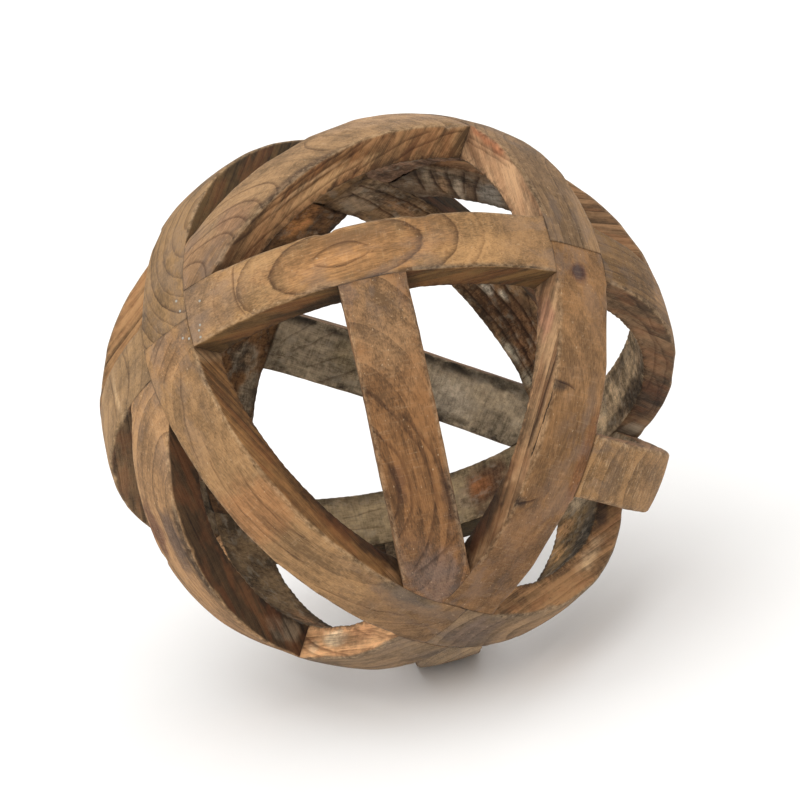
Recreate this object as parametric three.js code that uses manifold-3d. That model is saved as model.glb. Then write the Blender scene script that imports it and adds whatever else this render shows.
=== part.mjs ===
// An open decorative ball of twenty curved wooden bars.
//
// Three hoops cross at right angles at six crossings. Each hoop is four quarter bars. The eight
// three-cornered openings between the hoops are each split by one strut, which starts as a point
// in a corner and ends square against the middle of the hoop bar opposite. Every bar is a flat
// board sawn to an arc: its side faces are plane, its inner face is a plain curve, and its outer
// face is rounded off to the ball. The ball lies on a small flat spot under its bottom strut.
//
// The model is worked out about the ball's centre, with the hoops in the coordinate planes, and
// the finished bars are then turned to the way the ball lies: millimetres, +Z up, origin at the
// middle of the flat spot.

import * as THREE from 'three';
import { mergeVertices } from 'three/addons/utils/BufferGeometryUtils.js';
import Module from 'manifold-3d';

const wasm = await Module();
wasm.setup();

// Driving dimensions
const ballDiameter = 250;
const barWidth = 28.4;
const barDepth = 15.5; // outer face to inner face, towards the centre
const jointGap = 0.3; // the open glue line between two bars
const outOfRound = new THREE.Vector3( 1.025, 1.015, 0.96 ); // a hand-made ball, a little squat
const flatSpotDrop = 122.4; // ball centre down to the flat spot it lies on
const lie = new THREE.Euler( ...[ 131.7, 0.6, 44.2 ].map( THREE.MathUtils.degToRad ) );

// How finely a bar is drawn
const stepAngle = THREE.MathUtils.degToRad( 4.5 );
const crownSteps = 4; // facets across the rounded outer face
const overrun = THREE.MathUtils.degToRad( 13.5 ); // spare length, sawn off at the joints

const radius = ballDiameter / 2;
const innerRadius = radius - barDepth;
const halfWidth = barWidth / 2;

// The six crossings, in millimetres from the ball's centre. Each lies on an axis, and the small
// figures say how far it strays sideways.
const crossings = {
	left: new THREE.Vector3( 0, radius, - 1.1 ),
	right: new THREE.Vector3( radius, 1.3, 1.2 ),
	low: new THREE.Vector3( 1.7, 0.2, radius ),
	farRight: new THREE.Vector3( - 2.2, - radius, 0 ),
	farLeft: new THREE.Vector3( - radius, - 0.9, 1.8 ),
	high: new THREE.Vector3( 2.6, 1.2, - radius ),
};

// A hoop's rank says what gives way where two hoops cross: the lower number runs through, and
// its quarters meet end to end there, while the other hoop's quarters stop at its side faces.
const hoops = [
	{ rank: 1, around: [ 'low', 'left', 'high', 'farRight' ] },
	{ rank: 2, around: [ 'right', 'low', 'farLeft', 'high' ] },
	{ rank: 3, around: [ 'left', 'right', 'farRight', 'farLeft' ] },
];

// drift is how far each end of a bar sits to one side of its crossing, in millimetres.
const hoopBars = [
	{ name: 'lower_left_front_bar', from: 'low', to: 'left' },
	{ name: 'upper_left_back_bar', from: 'left', to: 'high', drift: [ - 0.5, - 1 ] },
	{ name: 'upper_right_back_bar', from: 'high', to: 'farRight', drift: [ 0.7, 0.3 ] },
	{ name: 'lower_right_back_bar', from: 'farRight', to: 'low' },
	{ name: 'right_front_bar', from: 'right', to: 'low', drift: [ 0.7, 0.6 ] },
	{ name: 'lower_left_back_bar', from: 'low', to: 'farLeft', drift: [ - 0.3, 1.4 ] },
	{ name: 'far_left_back_bar', from: 'farLeft', to: 'high', drift: [ - 1.3, - 0.3 ] },
	{ name: 'top_right_bar', from: 'right', to: 'high' },
	{ name: 'upper_front_bar', from: 'left', to: 'right', drift: [ - 0.4, - 1.5 ] },
	{ name: 'right_side_bar', from: 'right', to: 'farRight', drift: [ 0.5, 0.5 ] },
	{ name: 'low_back_bar', from: 'farRight', to: 'farLeft', drift: [ 0.3, - 1.2 ] },
	{ name: 'left_side_bar', from: 'left', to: 'farLeft', drift: [ 0, - 0.6 ] },
];

// A strut runs from its tip, in one corner of an opening, to the bar between the other two.
const struts = [
	{ name: 'front_strut', tip: 'low', foot: [ 'left', 'right' ], drift: [ 0.2, - 1 ] },
	{ name: 'top_strut', tip: 'left', foot: [ 'right', 'high' ], drift: [ 1.9, 2.5 ] },
	{ name: 'lower_left_strut', tip: 'left', foot: [ 'low', 'farLeft' ], drift: [ 0.4, 1.5 ] },
	{ name: 'left_side_strut', tip: 'high', foot: [ 'left', 'farLeft' ] },
	{ name: 'upper_right_strut', tip: 'high', foot: [ 'right', 'farRight' ], drift: [ - 0.7, - 5.5 ] },
	{ name: 'right_side_strut', tip: 'farRight', foot: [ 'right', 'low' ], drift: [ 3.8, 0.5 ] },
	{ name: 'bottom_strut', tip: 'low', foot: [ 'farRight', 'farLeft' ] },
	{ name: 'back_strut', tip: 'farRight', foot: [ 'farLeft', 'high' ], drift: [ 1, 2.3 ] },
];

// Old teak, from pale sanded faces to grey weathered ones
const woods = {
	honey: 0xb98d62,
	brown: 0x9c7452,
	grey: 0x8f745b,
	dark: 0x7a5c42,
};
const woodOf = {
	lower_left_front_bar: 'honey',
	upper_front_bar: 'honey',
	top_strut: 'honey',
	lower_left_strut: 'honey',
	top_right_bar: 'grey',
	upper_right_strut: 'dark',
	right_side_bar: 'grey',
	lower_right_back_bar: 'dark',
	upper_right_back_bar: 'dark',
	low_back_bar: 'dark',
	bottom_strut: 'grey',
	back_strut: 'grey',
};

function pointOnBall( ...names ) {

	const sum = new THREE.Vector3();
	for ( const name of names ) sum.add( crossings[ name ] );
	return sum.setLength( radius );

}

// The run of a bar: where its middle line starts, the way it leaves, the way its board faces,
// and the angle it covers.
function runBetween( start, end, drift = [ 0, 0 ] ) {

	const facing = start.clone().cross( end ).normalize();
	const first = start.clone().addScaledVector( facing, drift[ 0 ] ).normalize();
	const last = end.clone().addScaledVector( facing, drift[ 1 ] ).normalize();
	const normal = first.clone().cross( last ).normalize();
	const along = normal.clone().cross( first );
	return { first, last, along, normal, angle: first.angleTo( last ) };

}

function toSolid( geometry ) {

	const bare = geometry.clone();
	bare.deleteAttribute( 'normal' );
	bare.deleteAttribute( 'uv' );
	const merged = mergeVertices( bare );
	return new wasm.Manifold( new wasm.Mesh( {
		numProp: 3,
		vertProperties: new Float32Array( merged.attributes.position.array ),
		triVerts: new Uint32Array( merged.index.array ),
	} ) );

}

function toGeometry( solid ) {

	const mesh = solid.getMesh();
	const indexed = new THREE.BufferGeometry();
	indexed.setAttribute( 'position', new THREE.BufferAttribute( mesh.vertProperties, 3 ) );
	indexed.setIndex( new THREE.BufferAttribute( mesh.triVerts, 1 ) );
	const geometry = indexed.toNonIndexed();
	geometry.computeVertexNormals();
	return geometry;

}

// The cross-section of a bar as [ sideways, out from the centre ] pairs, counter-clockwise
function barSection() {

	const section = [ [ - halfWidth, innerRadius ], [ halfWidth, innerRadius ] ];
	for ( let i = 0; i <= crownSteps; i ++ ) {

		const sideways = halfWidth - barWidth * i / crownSteps;
		section.push( [ sideways, Math.sqrt( radius ** 2 - sideways ** 2 ) ] );

	}

	return section;

}

// A bar before its ends are sawn: the section swept along the arc, closed by flat ends
function arcBlank( run ) {

	const section = barSection();
	const steps = Math.ceil( ( run.angle + 2 * overrun ) / stepAngle );
	const positions = [];
	for ( let i = 0; i <= steps; i ++ ) {

		const turn = - overrun + ( run.angle + 2 * overrun ) * i / steps;
		const out = run.first.clone().multiplyScalar( Math.cos( turn ) )
			.addScaledVector( run.along, Math.sin( turn ) );
		for ( const [ sideways, distance ] of section ) {

			const corner = out.clone().multiplyScalar( distance );
			corner.addScaledVector( run.normal, sideways );
			positions.push( corner.x, corner.y, corner.z );

		}

	}

	const size = section.length;
	const triangles = [];
	for ( let i = 0; i < steps; i ++ ) {

		for ( let j = 0; j < size; j ++ ) {

			const a = i * size + j;
			const b = i * size + ( j + 1 ) % size;
			triangles.push( a, b, a + size, b, b + size, a + size );

		}

	}

	for ( let j = 1; j < size - 1; j ++ ) {

		const last = steps * size;
		triangles.push( 0, j + 1, j, last, last + j, last + j + 1 );

	}

	const blank = new THREE.BufferGeometry();
	blank.setAttribute( 'position', new THREE.Float32BufferAttribute( positions, 3 ) );
	blank.setIndex( triangles );
	return toSolid( blank );

}

// Takes away everything of a solid that lies beyond a plane, on the side its normal points to.
function sawOff( solid, plane ) {

	const reach = 4 * radius;
	const waste = new THREE.BoxGeometry( reach, reach, reach );
	waste.translate( 0, 0, reach / 2 );
	const up = new THREE.Vector3( 0, 0, 1 );
	waste.applyQuaternion( new THREE.Quaternion().setFromUnitVectors( up, plane.normal ) );
	waste.translate( ...plane.normal.clone().multiplyScalar( - plane.constant ) );
	return solid.subtract( toSolid( waste ) );

}

function hoopOf( bar ) {

	return hoops.find( ( hoop ) => hoop.around.includes( bar.from ) && hoop.around.includes( bar.to ) );

}

// The side face of a hoop bar that looks towards a point, as the plane a neighbour is sawn to
function sideFace( bar, towards ) {

	const normal = bar.run.normal.clone();
	if ( normal.dot( towards ) < 0 ) normal.negate();
	return new THREE.Plane( normal.negate(), halfWidth + jointGap );

}

// The end face where two quarters of a hoop that runs through meet end to end
function endFace( hoop, name, other ) {

	const place = hoop.around.indexOf( name );
	const ahead = crossings[ hoop.around[ ( place + 1 ) % 4 ] ];
	const behind = crossings[ hoop.around[ ( place + 3 ) % 4 ] ];
	const across = ahead.clone().sub( behind ).projectOnPlane( crossings[ name ] ).normalize();
	if ( across.dot( crossings[ other ] ) > 0 ) across.negate();
	return new THREE.Plane( across, jointGap / 2 );

}

// The planes that saw a hoop bar's end at one of its crossings
function endCuts( bar, name, other ) {

	const hoop = hoopOf( bar );
	const crossingHoop = hoops.find( ( h ) => h !== hoop && h.around.includes( name ) );
	if ( hoop.rank < crossingHoop.rank ) return [ endFace( hoop, name, other ) ];
	return hoopBars
		.filter( ( b ) => hoopOf( b ) === crossingHoop && ( b.from === name || b.to === name ) )
		.map( ( b ) => sideFace( b, crossings[ other ] ) );

}

function makeHoopBar( bar ) {

	const cuts = [ ...endCuts( bar, bar.from, bar.to ), ...endCuts( bar, bar.to, bar.from ) ];
	return cuts.reduce( sawOff, arcBlank( bar.run ) );

}

// A strut is sawn to the side faces of the three hoop bars around its opening: two of them make
// its pointed tip, and the third its square foot.
function makeStrut( strut ) {

	const corners = [ strut.tip, ...strut.foot ];
	const middle = pointOnBall( ...corners );
	const cuts = hoopBars
		.filter( ( bar ) => corners.includes( bar.from ) && corners.includes( bar.to ) )
		.map( ( bar ) => sideFace( bar, middle ) );
	return cuts.reduce( sawOff, arcBlank( strut.run ) );

}

function barMesh( bar, solid ) {

	const material = new THREE.MeshStandardMaterial( {
		color: woods[ woodOf[ bar.name ] ?? 'brown' ],
		roughness: 0.75,
		metalness: 0,
	} );
	const mesh = new THREE.Mesh( toGeometry( solid ), material );
	mesh.name = bar.name;
	return mesh;

}

for ( const bar of hoopBars ) {

	bar.run = runBetween( crossings[ bar.from ], crossings[ bar.to ], bar.drift );

}

for ( const strut of struts ) {

	strut.run = runBetween( crossings[ strut.tip ], pointOnBall( ...strut.foot ), strut.drift );

}

const ball = new THREE.Group();
ball.scale.copy( outOfRound );
ball.rotation.copy( lie );
ball.position.set( 0, 0, flatSpotDrop );
ball.updateMatrixWorld();

// The surface the ball lies on, seen from the ball's own hoops: what is below it is sawn off.
const ground = new THREE.Plane( new THREE.Vector3( 0, 0, - 1 ), 0 );
ground.applyMatrix4( ball.matrixWorld.clone().invert() );

for ( const bar of hoopBars ) ball.add( barMesh( bar, makeHoopBar( bar ) ) );
for ( const strut of struts ) {

	const solid = makeStrut( strut );
	ball.add( barMesh( strut, strut.name === 'bottom_strut' ? sawOff( solid, ground ) : solid ) );

}

const part = new THREE.Group();
part.add( ball );

export default part;
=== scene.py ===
import itertools
import math
import bmesh
import bpy
import numpy as np
from mathutils import Matrix, Vector


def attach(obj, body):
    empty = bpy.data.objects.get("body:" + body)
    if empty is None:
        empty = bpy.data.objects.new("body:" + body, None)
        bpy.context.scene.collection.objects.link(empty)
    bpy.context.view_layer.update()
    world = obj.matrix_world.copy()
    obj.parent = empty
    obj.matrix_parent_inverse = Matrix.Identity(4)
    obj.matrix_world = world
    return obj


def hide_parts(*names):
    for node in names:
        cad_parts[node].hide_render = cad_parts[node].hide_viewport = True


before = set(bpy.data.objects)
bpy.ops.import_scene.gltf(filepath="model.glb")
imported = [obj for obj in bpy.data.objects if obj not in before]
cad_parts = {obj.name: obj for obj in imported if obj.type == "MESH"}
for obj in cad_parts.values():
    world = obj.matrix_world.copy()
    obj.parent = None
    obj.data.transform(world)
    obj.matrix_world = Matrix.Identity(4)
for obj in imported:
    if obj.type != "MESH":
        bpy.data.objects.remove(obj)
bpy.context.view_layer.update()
millimetre = 0.001
farAway = 50.0  # mm, for a point that nothing is near

# The ball's own shape, in millimetres and degrees
ball = {
    "radius": 125.0,
    "barWidth": 28.4,
    "barDepth": 15.5,
    "outOfRound": (1.025, 1.015, 0.96),  # how long its own three axes are, as shares of the radius
    "lie": (131.7, 0.6, 44.2),  # how it is turned about x, y and z
    "centreHeight": 122.4,
}
radius = ball["radius"]
halfWidth = ball["barWidth"] / 2
innerRadius = radius - ball["barDepth"]
lieTurn = Matrix.Identity(3)
for angle, axis in zip(ball["lie"], "XYZ"):
    lieTurn = lieTurn @ Matrix.Rotation(math.radians(angle), 3, axis)
ballToRow = np.array(lieTurn) * np.array(ball["outOfRound"])
rowToBall = np.linalg.inv(ballToRow)
centre = np.array((0.0, 0.0, ball["centreHeight"]))


def toBall(points):
    return (points / millimetre - centre) @ rowToBall.T


def toRow(points):
    return (points @ ballToRow.T + centre) * millimetre


def unit(vectors):
    return vectors / np.linalg.norm(vectors, axis=-1, keepdims=True)


def smoothStep(low, high, value):
    part = np.clip((value - low) / (high - low), 0, 1)
    return part * part * (3 - 2 * part)


# Smooth random heights from -1 to 1 at points, in lumps of about the given size. The large numbers
# only turn a lump's place into a random height.
def lumps(points, size, seed):
    place = points / size + seed * 7.31
    cell = np.floor(place).astype(np.int64)
    part = place - cell
    part = part * part * (3 - 2 * part)
    height = np.zeros(len(points))
    for corner in itertools.product((0, 1), repeat=3):
        c = cell + np.array(corner)
        mixed = (c[:, 0] * 73856093) ^ (c[:, 1] * 19349663) ^ (c[:, 2] * 83492791) ^ (seed * 40503)
        mixed = ((mixed ^ (mixed >> 13)) * 1274126177) & 0x7FFFFFFF
        value = ((mixed ^ (mixed >> 15)) & 0xFFFF) / 32767.5 - 1
        height += value * np.prod(np.where(corner, part, 1 - part), axis=1)
    return height


def linear(hexColour):
    parts = [int(hexColour[i:i + 2], 16) / 255 for i in (1, 3, 5)]
    return [c / 12.92 if c <= 0.04045 else ((c + 0.055) / 1.055) ** 2.4 for c in parts] + [1.0]


def addNode(tree, kind, settings=None, inputs=None):
    node = tree.nodes.new(kind)
    for key, value in (settings or {}).items():
        setattr(node, key, value)
    for key, value in (inputs or {}).items():
        if isinstance(value, bpy.types.Node):
            value = value.outputs[0]
        if isinstance(value, bpy.types.NodeSocket):
            tree.links.new(value, node.inputs[key])
        else:
            node.inputs[key].default_value = value
    return node


# What tells a bar's flat faces apart. Areas are in square millimetres and lengths in millimetres.
flat = {
    "least": 0.01,  # the smallest triangle that counts
    "sameWay": 0.9995,  # how nearly two triangles of one face point the same way
    "sameLevel": 0.3,
    "leastEnd": 20,  # the smallest sawn end
    "endLean": 0.35,  # an end's plane passes near the ball's centre, and a round face's doesn't
    "endTurn": 0.9,  # an end isn't a side
}


# A bar's board: the way it faces, the middle of its arc, the way the arc runs there, its first and
# last angle, and the planes that its ends are sawn to, all in the ball's own frame
def measureBoard(name):
    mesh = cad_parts[name].data
    mesh.calc_loop_triangles()
    points = toBall(np.array([v.co for v in mesh.vertices]))
    corners = points[np.array([t.vertices for t in mesh.loop_triangles])]
    cross = np.cross(corners[:, 1] - corners[:, 0], corners[:, 2] - corners[:, 0])
    area = np.linalg.norm(cross, axis=1) / 2
    facing = cross / np.maximum(2 * area[:, None], 1e-9)
    middle = corners.mean(axis=1)
    offset = (facing * middle).sum(axis=1)
    faces = []
    left = area > flat["least"]
    while left.any():
        largest = np.argmax(np.where(left, area, 0))
        same = left & (facing @ facing[largest] > flat["sameWay"])
        same &= abs(offset - offset[largest]) < flat["sameLevel"]
        faces.append((area[same].sum(), facing[largest], offset[largest], middle[same].mean(axis=0)))
        left &= ~same
    faces.sort(key=lambda face: -face[0])
    normal = faces[0][1]
    outward = points.mean(axis=0)
    outward = unit(outward - normal * (outward @ normal))
    if (ballToRow @ np.cross(normal, outward))[2] < 0:  # arcs run from their lower end to the higher
        normal = -normal
    along = np.cross(normal, outward)
    angles = np.arctan2(points @ along, points @ outward)
    ends = [
        (way, level) for size, way, level, spot in faces
        if size > flat["leastEnd"] and abs(way @ unit(spot)) < flat["endLean"]
        and abs(way @ normal) < flat["endTurn"]
    ]
    return {
        "name": name, "normal": normal, "outward": outward, "along": along,
        "low": angles.min(), "high": angles.max(), "ends": ends,
    }


boards = {name: measureBoard(name) for name in sorted(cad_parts)}


# Points on a board, from their angle along it, their distance from the middle and how far across
def onBoard(board, angle, distance, across):
    return ((distance * np.cos(angle))[:, None] * board["outward"]
            + (distance * np.sin(angle))[:, None] * board["along"]
            + across[:, None] * board["normal"])


# How far points are from the nearest bar other than their own
def gapToOthers(points, own):
    nearest = np.full(len(points), farAway)
    for name, board in boards.items():
        if name != own:
            beyond = abs(points @ board["normal"]) - halfWidth
            for normal, offset in board["ends"]:
                beyond = np.maximum(beyond, points @ normal - offset)
            nearest = np.minimum(nearest, beyond)
    return nearest


# The blank is an arc sawn from a board, before its ends are cut
blankMesh = {
    "rowStep": 1.15,  # mm between cross-sections
    "cuts": 25,  # points added along each side of a cross-section
    "spare": math.radians(1.5),  # past each end, before it is sawn off
    "jointGap": 0.145,  # mm that each end is left longer than its solid, to close the glued joints
    "leastReach": 0.1,  # mm that part of an end is lengthened by, to meet a bar that is out of line
    "mostReach": 3.4,
}


def makeBlankTree():
    tree = bpy.data.node_groups.new("arcBlank", "GeometryNodeTree")
    for name, kind in (
        ("Radius", "NodeSocketFloat"), ("Width", "NodeSocketFloat"), ("Depth", "NodeSocketFloat"),
        ("Start Angle", "NodeSocketFloat"), ("Sweep Angle", "NodeSocketFloat"),
        ("Rows", "NodeSocketInt"), ("Cuts", "NodeSocketInt"), ("Wood", "NodeSocketMaterial"),
    ):
        tree.interface.new_socket(name, in_out="INPUT", socket_type=kind)
    tree.interface.new_socket("Bar", in_out="OUTPUT", socket_type="NodeSocketGeometry")
    given = addNode(tree, "NodeGroupInput").outputs
    halfDepth = addNode(
        tree, "ShaderNodeMath", {"operation": "MULTIPLY"}, {0: given["Depth"], 1: 0.5})
    middleRadius = addNode(
        tree, "ShaderNodeMath", {"operation": "SUBTRACT"}, {0: given["Radius"], 1: halfDepth})
    arc = addNode(tree, "GeometryNodeCurveArc", None, {
        "Resolution": given["Rows"], "Radius": middleRadius,
        "Start Angle": given["Start Angle"], "Sweep Angle": given["Sweep Angle"]})
    section = addNode(
        tree, "GeometryNodeCurvePrimitiveQuadrilateral", None,
        {"Width": given["Depth"], "Height": given["Width"]})
    finer = addNode(
        tree, "GeometryNodeSubdivideCurve", None, {"Curve": section, "Cuts": given["Cuts"]})
    swept = addNode(
        tree, "GeometryNodeCurveToMesh", None, {"Curve": arc, "Profile Curve": finer})
    realized = addNode(tree, "GeometryNodeRealizeInstances", None, {0: swept})
    wood = addNode(
        tree, "GeometryNodeSetMaterial", None, {"Geometry": realized, "Material": given["Wood"]})
    addNode(tree, "NodeGroupOutput", None, {"Bar": wood})
    return tree


# Runs a tree on a mesh with named inputs, and gives back a plain mesh
def runTree(tree, mesh, values):
    holder = bpy.data.objects.new(mesh.name, mesh)
    bpy.context.scene.collection.objects.link(holder)
    modifier = holder.modifiers.new(tree.name, "NODES")
    modifier.node_group = tree
    sockets = {item.name: item.identifier for item in tree.interface.items_tree
               if item.in_out == "INPUT"}
    for key, value in values.items():
        modifier[sockets[key]] = value
    evaluated = holder.evaluated_get(bpy.context.evaluated_depsgraph_get())
    made = bpy.data.meshes.new_from_object(evaluated)
    holder.modifiers.remove(modifier)
    bpy.data.objects.remove(holder)
    return made


def arcBlank(board, material):
    start = board["low"] - blankMesh["spare"]
    sweep = board["high"] - board["low"] + 2 * blankMesh["spare"]
    return runTree(blankTree, bpy.data.meshes.new(board["name"]), {
        "Radius": radius, "Width": ball["barWidth"], "Depth": ball["barDepth"],
        "Start Angle": start, "Sweep Angle": sweep,
        "Rows": math.ceil(sweep * radius / blankMesh["rowStep"]) + 1,
        "Cuts": blankMesh["cuts"], "Wood": material})


# Saws the ends off a blank, which is turned to its place in the ball's frame
def sawEnds(blank, board):
    shape = bmesh.new()
    shape.from_mesh(blank)
    axes = Matrix((board["outward"], board["along"], board["normal"])).transposed()
    shape.transform(axes.to_4x4())
    for normal, offset in board["ends"]:
        cut = bmesh.ops.bisect_plane(
            shape, geom=shape.verts[:] + shape.edges[:] + shape.faces[:], dist=1e-4,
            plane_co=Vector(normal * (offset + blankMesh["jointGap"])), plane_no=Vector(normal),
            clear_outer=True)
        rim = [e for e in cut["geom_cut"] if isinstance(e, bmesh.types.BMEdge)]
        bmesh.ops.edgeloop_fill(shape, edges=[e for e in rim if e.is_boundary])

    # Where the two bars it meets are a little out of line, an end reaches across to each of them
    for normal, offset in board["ends"]:
        level = offset + blankMesh["jointGap"]
        sawn = [v for v in shape.verts if abs(v.co.dot(Vector(normal)) - level) < 0.005]
        gaps = gapToOthers(np.array([v.co for v in sawn]), board["name"]) - blankMesh["jointGap"]
        for vertex, gap in zip(sawn, gaps):
            if blankMesh["leastReach"] < gap < blankMesh["mostReach"]:
                vertex.co += Vector(normal * gap)
    return shape


# Wear: rounded and chipped arrises, sanding flats, slow hollows, cracks, and saw marks inside.
# Lengths are in mm.
wear = {
    "outerArris": 1.9,  # how far an outer arris is rounded over
    "innerArris": 1.1,
    "leastArris": 0.05,  # what is left of it inside a joint
    "chip": 1.3,  # how much more where it is chipped, as a share
    "flats": 190,  # sanding flats over the whole ball
    "flatDepth": (0.15, 0.75),
    "deepestFlat": 1.2,
    "swell": 0.45,  # slow waves over the outside
    "ripple": 0.13,
    "proud": 0.2,  # gives back what the flats and hollows take on average
    "step": 0.22,  # how far at most a bar is sanded above or below that
    "groove": 0.1,  # the worn line where two bars meet
    "crack": 0.8,  # how deep a split is
    "saw": 0.16,  # the saw's strokes over the inner faces
    "sawPitch": 4.3,
    "fur": 0.22,
    "hollow": 0.6,
    "sway": 0.35,  # the sides were planed once, and never quite flat
    "sideRipple": 0.08,
}
flatRandom = np.random.default_rng(11)
flatTurns = np.arange(wear["flats"]) * math.pi * (3 - math.sqrt(5))
flatHeights = 1 - (2 * np.arange(wear["flats"]) + 1) / wear["flats"]
flatSpread = np.sqrt(1 - flatHeights ** 2)
flatWays = unit(np.stack(
    [flatSpread * np.cos(flatTurns), flatSpread * np.sin(flatTurns), flatHeights], axis=1)
    + flatRandom.normal(0, 0.05, (wear["flats"], 3)))
flatReach = radius - flatRandom.uniform(*wear["flatDepth"], wear["flats"])


# Rounds one arris: a and b are the distances from its two faces
def roundArris(a, b, rounding):
    inside = (a < rounding) & (b < rounding)
    reach = np.hypot(rounding - a, rounding - b)
    share = np.where(inside & (reach > 1e-6), rounding / np.maximum(reach, 1e-6), 1.0)
    return rounding - (rounding - a) * share, rounding - (rounding - b) * share


# Cracks, and grain lines that are drawn one by one
drawnLine = {
    "waver": 0.7,  # mm to either side
    "waverLength": 6,
    "reach": 3,  # mm beside it where it is still the nearest line
    "wide": 9.0,  # half widths beside it where nothing of it shows
}


# How many half widths points lie beside the nearest of a bar's drawn lines, and how far past it
# they are. A line is its face, its middle along the arc and across or deep, half its length, the
# angle it is turned by, its bend and half its width.
def besideLines(facts, lines, seed):
    beside = np.full(len(facts["arc"]), drawnLine["wide"])
    past = np.full(len(facts["arc"]), farAway)
    for face, arc, level, halfLength, turn, bend, halfWide in lines:
        cosine, sine = math.cos(math.radians(turn)), math.sin(math.radians(turn))
        along, over = facts["arc"] - arc, facts["level"][face] - level
        run = along * cosine + over * sine
        offset = over * cosine - along * sine - bend / 100 * run ** 2
        trace = np.stack([run, 0 * run, 0 * run + arc], axis=1)
        offset += drawnLine["waver"] * lumps(trace, drawnLine["waverLength"], seed)
        beyond = np.maximum(abs(run) - halfLength, abs(offset) - drawnLine["reach"])
        closer = (facts["on"][face] > 0.5) & (beyond < past)
        widths = np.clip(offset / halfWide, -drawnLine["wide"], drawnLine["wide"])
        beside = np.where(closer, widths, beside)
        past = np.where(closer, beyond, past)
    return beside, past


# Moves a sawn bar's points to their worn places, and says what the wood needs to know of each.
# Heights run from 0 at the inner face to 1 at the outer one. A crack's third value is spare.
def wearDown(points, board, look):
    seed = look["seed"]
    across = points @ board["normal"]
    x, y = points @ board["outward"], points @ board["along"]
    angle, distance = np.arctan2(y, x), np.hypot(x, y)
    height = np.clip((distance - innerRadius) / ball["barDepth"], 0, 1)
    crown = np.sqrt(radius ** 2 - across ** 2)
    distance = innerRadius + (crown - innerRadius) * height
    depth = (1 - height) * ball["barDepth"]
    sideways = abs(across) / halfWidth > 0.97

    # Places are along the arc and across or deep, and each point knows which faces it is on
    facts = {
        "arc": radius * angle, "across": across,
        "level": {"outer": across, "inner": across, "high": depth, "low": depth},
        "on": {"outer": (height > 0.99) * 1.0, "inner": (height < 0.01) * 1.0,
               "high": (sideways & (across > 0)) * 1.0, "low": (sideways & (across < 0)) * 1.0},
    }
    beside, past = besideLines(facts, look["cracks"], seed)
    facts["crack"] = np.stack([beside, past, 0 * past], axis=1)
    oddMarks = besideLines(facts, look["marks"][::2], seed)
    evenMarks = besideLines(facts, look["marks"][1::2], seed)  # so that two lines can lie close
    facts["mark"] = np.column_stack(oddMarks + evenMarks)

    # Arrises are rounded where they are free, and left sharp inside a joint
    arris = np.full(len(points), farAway)
    for side in (1, -1):
        for outer, rounding in ((True, wear["outerArris"]), (False, wear["innerArris"])):
            level = crown - 1.5 if outer else np.full(len(points), innerRadius + 1.5)
            probe = onBoard(board, angle, level, np.full(len(points), side * (halfWidth + 1)))
            free = smoothStep(0.6, 4.5, gapToOthers(probe, board["name"]))  # mm clear of others
            uneven = 0.8 + 0.45 * lumps(probe, 24, seed) + 0.2 * lumps(probe, 10, seed + 1)
            uneven *= 1 + wear["chip"] * smoothStep(0.5, 0.8, lumps(probe, 9, seed + 12))
            rounded = np.maximum(rounding * np.clip(uneven, 0.25, 2.2) * free, wear["leastArris"])
            a = halfWidth - side * across
            b = crown - distance if outer else distance - innerRadius
            newA, newB = roundArris(a, b, rounded)
            arris = np.where(free > 0.3, np.minimum(arris, np.hypot(a, b)), arris)
            across = np.where(a < rounded, side * (halfWidth - newA), across)
            distance = np.where(
                (a < rounded) & (b < rounded), crown - newB if outer else innerRadius + newB,
                distance)
    facts["arris"] = arris
    worn = onBoard(board, angle, distance, across)
    near = gapToOthers(points, board["name"])
    facts["near"] = np.clip(near, 0, farAway)
    outerShare = smoothStep(0.55, 1, height)
    innerShare = smoothStep(0.35, 0, height)

    # Outside: sanded flats, a step up or down at the joints, and a groove along them
    ways = unit(worn)
    facing = ways @ flatWays.T
    limit = np.where(facing > 0.93, flatReach / facing, 1e3).min(axis=1)  # the flats close by
    cutAway = np.clip(radius - limit, 0, wear["deepestFlat"])
    groove = wear["groove"] * np.exp(-np.maximum(near - 0.3, 0) / 0.6)
    groove *= 0.5 + 0.5 * lumps(worn, 9, seed + 2)
    swell = wear["swell"] * lumps(worn, 33, 3) + wear["ripple"] * lumps(worn, 8, 4)
    dent = wear["crack"] * (abs(beside) < 1.2) * smoothStep(0.5, -1.5, past)
    lift = wear["proud"] + wear["step"] * ((seed * 3) % 5 - 2) / 2
    rise = outerShare * (lift - cutAway - groove + swell) - dent * facts["on"]["outer"]
    worn += ways * rise[:, None]

    # Inside: left from the saw
    saw = wear["saw"] * np.sin(2 * math.pi * (facts["arc"] + 0.3 * across) / wear["sawPitch"])
    fur = wear["fur"] * (lumps(points, 2.6, seed + 5) + lumps(points, 6, seed + 6))
    hollow = wear["hollow"] * lumps(points, 24, seed + 7)
    worn += ways * (innerShare * (saw + fur + hollow))[:, None]

    # Sides
    sway = wear["sway"] * lumps(points, 30, seed + 8)
    sway += wear["sideRipple"] * lumps(points, 5, seed + 9)
    sway -= dent * (1 - facts["on"]["outer"])
    sideShare = np.clip(near / 5, 0, 1) * smoothStep(0.5, 0.98, abs(across) / halfWidth)
    worn += board["normal"] * (sway * sideShare * np.sign(across))[:, None]
    return worn, facts


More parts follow.
